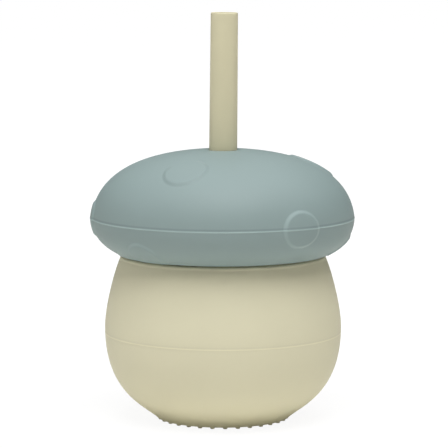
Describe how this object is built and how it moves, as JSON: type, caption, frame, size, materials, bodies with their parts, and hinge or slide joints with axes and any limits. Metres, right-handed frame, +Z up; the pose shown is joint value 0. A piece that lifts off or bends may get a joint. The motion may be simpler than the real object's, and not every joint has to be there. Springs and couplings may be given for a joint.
{
  "type": "sippy cup",
  "caption": "Toddler's soft silicone sippy cup: round cup, plug-in mushroom-cap lid with raised dots, and a straight drinking straw through the lid.",
  "frame": {"origin": "on the ground under the centre of the cup, at the flat end of the middle grip stud", "axes": "+Z up along the axis of the cup, the lid and the straw; the lid's and straw's slides run along +Z; -Y is the front, with the two dots that face the viewer"},
  "size_m": [0.0905, 0.09, 0.139],
  "materials": {
    "cream_silicone": "matte, soft-touch food-grade silicone, warm cream",
    "blue_grey_silicone": "matte, soft-touch food-grade silicone, muted blue-grey",
    "straw_silicone": "smooth matte silicone, cream a little darker than the cup"
  },
  "bodies": {
    "cup": {"cup": "cream_silicone"},
    "lid": {"lid": "blue_grey_silicone"},
    "straw": {"straw": "straw_silicone"}
  },
  "joints": [
    {"name": "lid_lift", "type": "slide", "parent": "cup", "child": "lid", "axis": [0, 0, 1], "range_m": [0, 0.075]},
    {"name": "straw_slide", "type": "slide", "parent": "lid", "child": "straw", "axis": [0, 0, 1], "range_m": [-0.002, 0.088]}
  ]
}
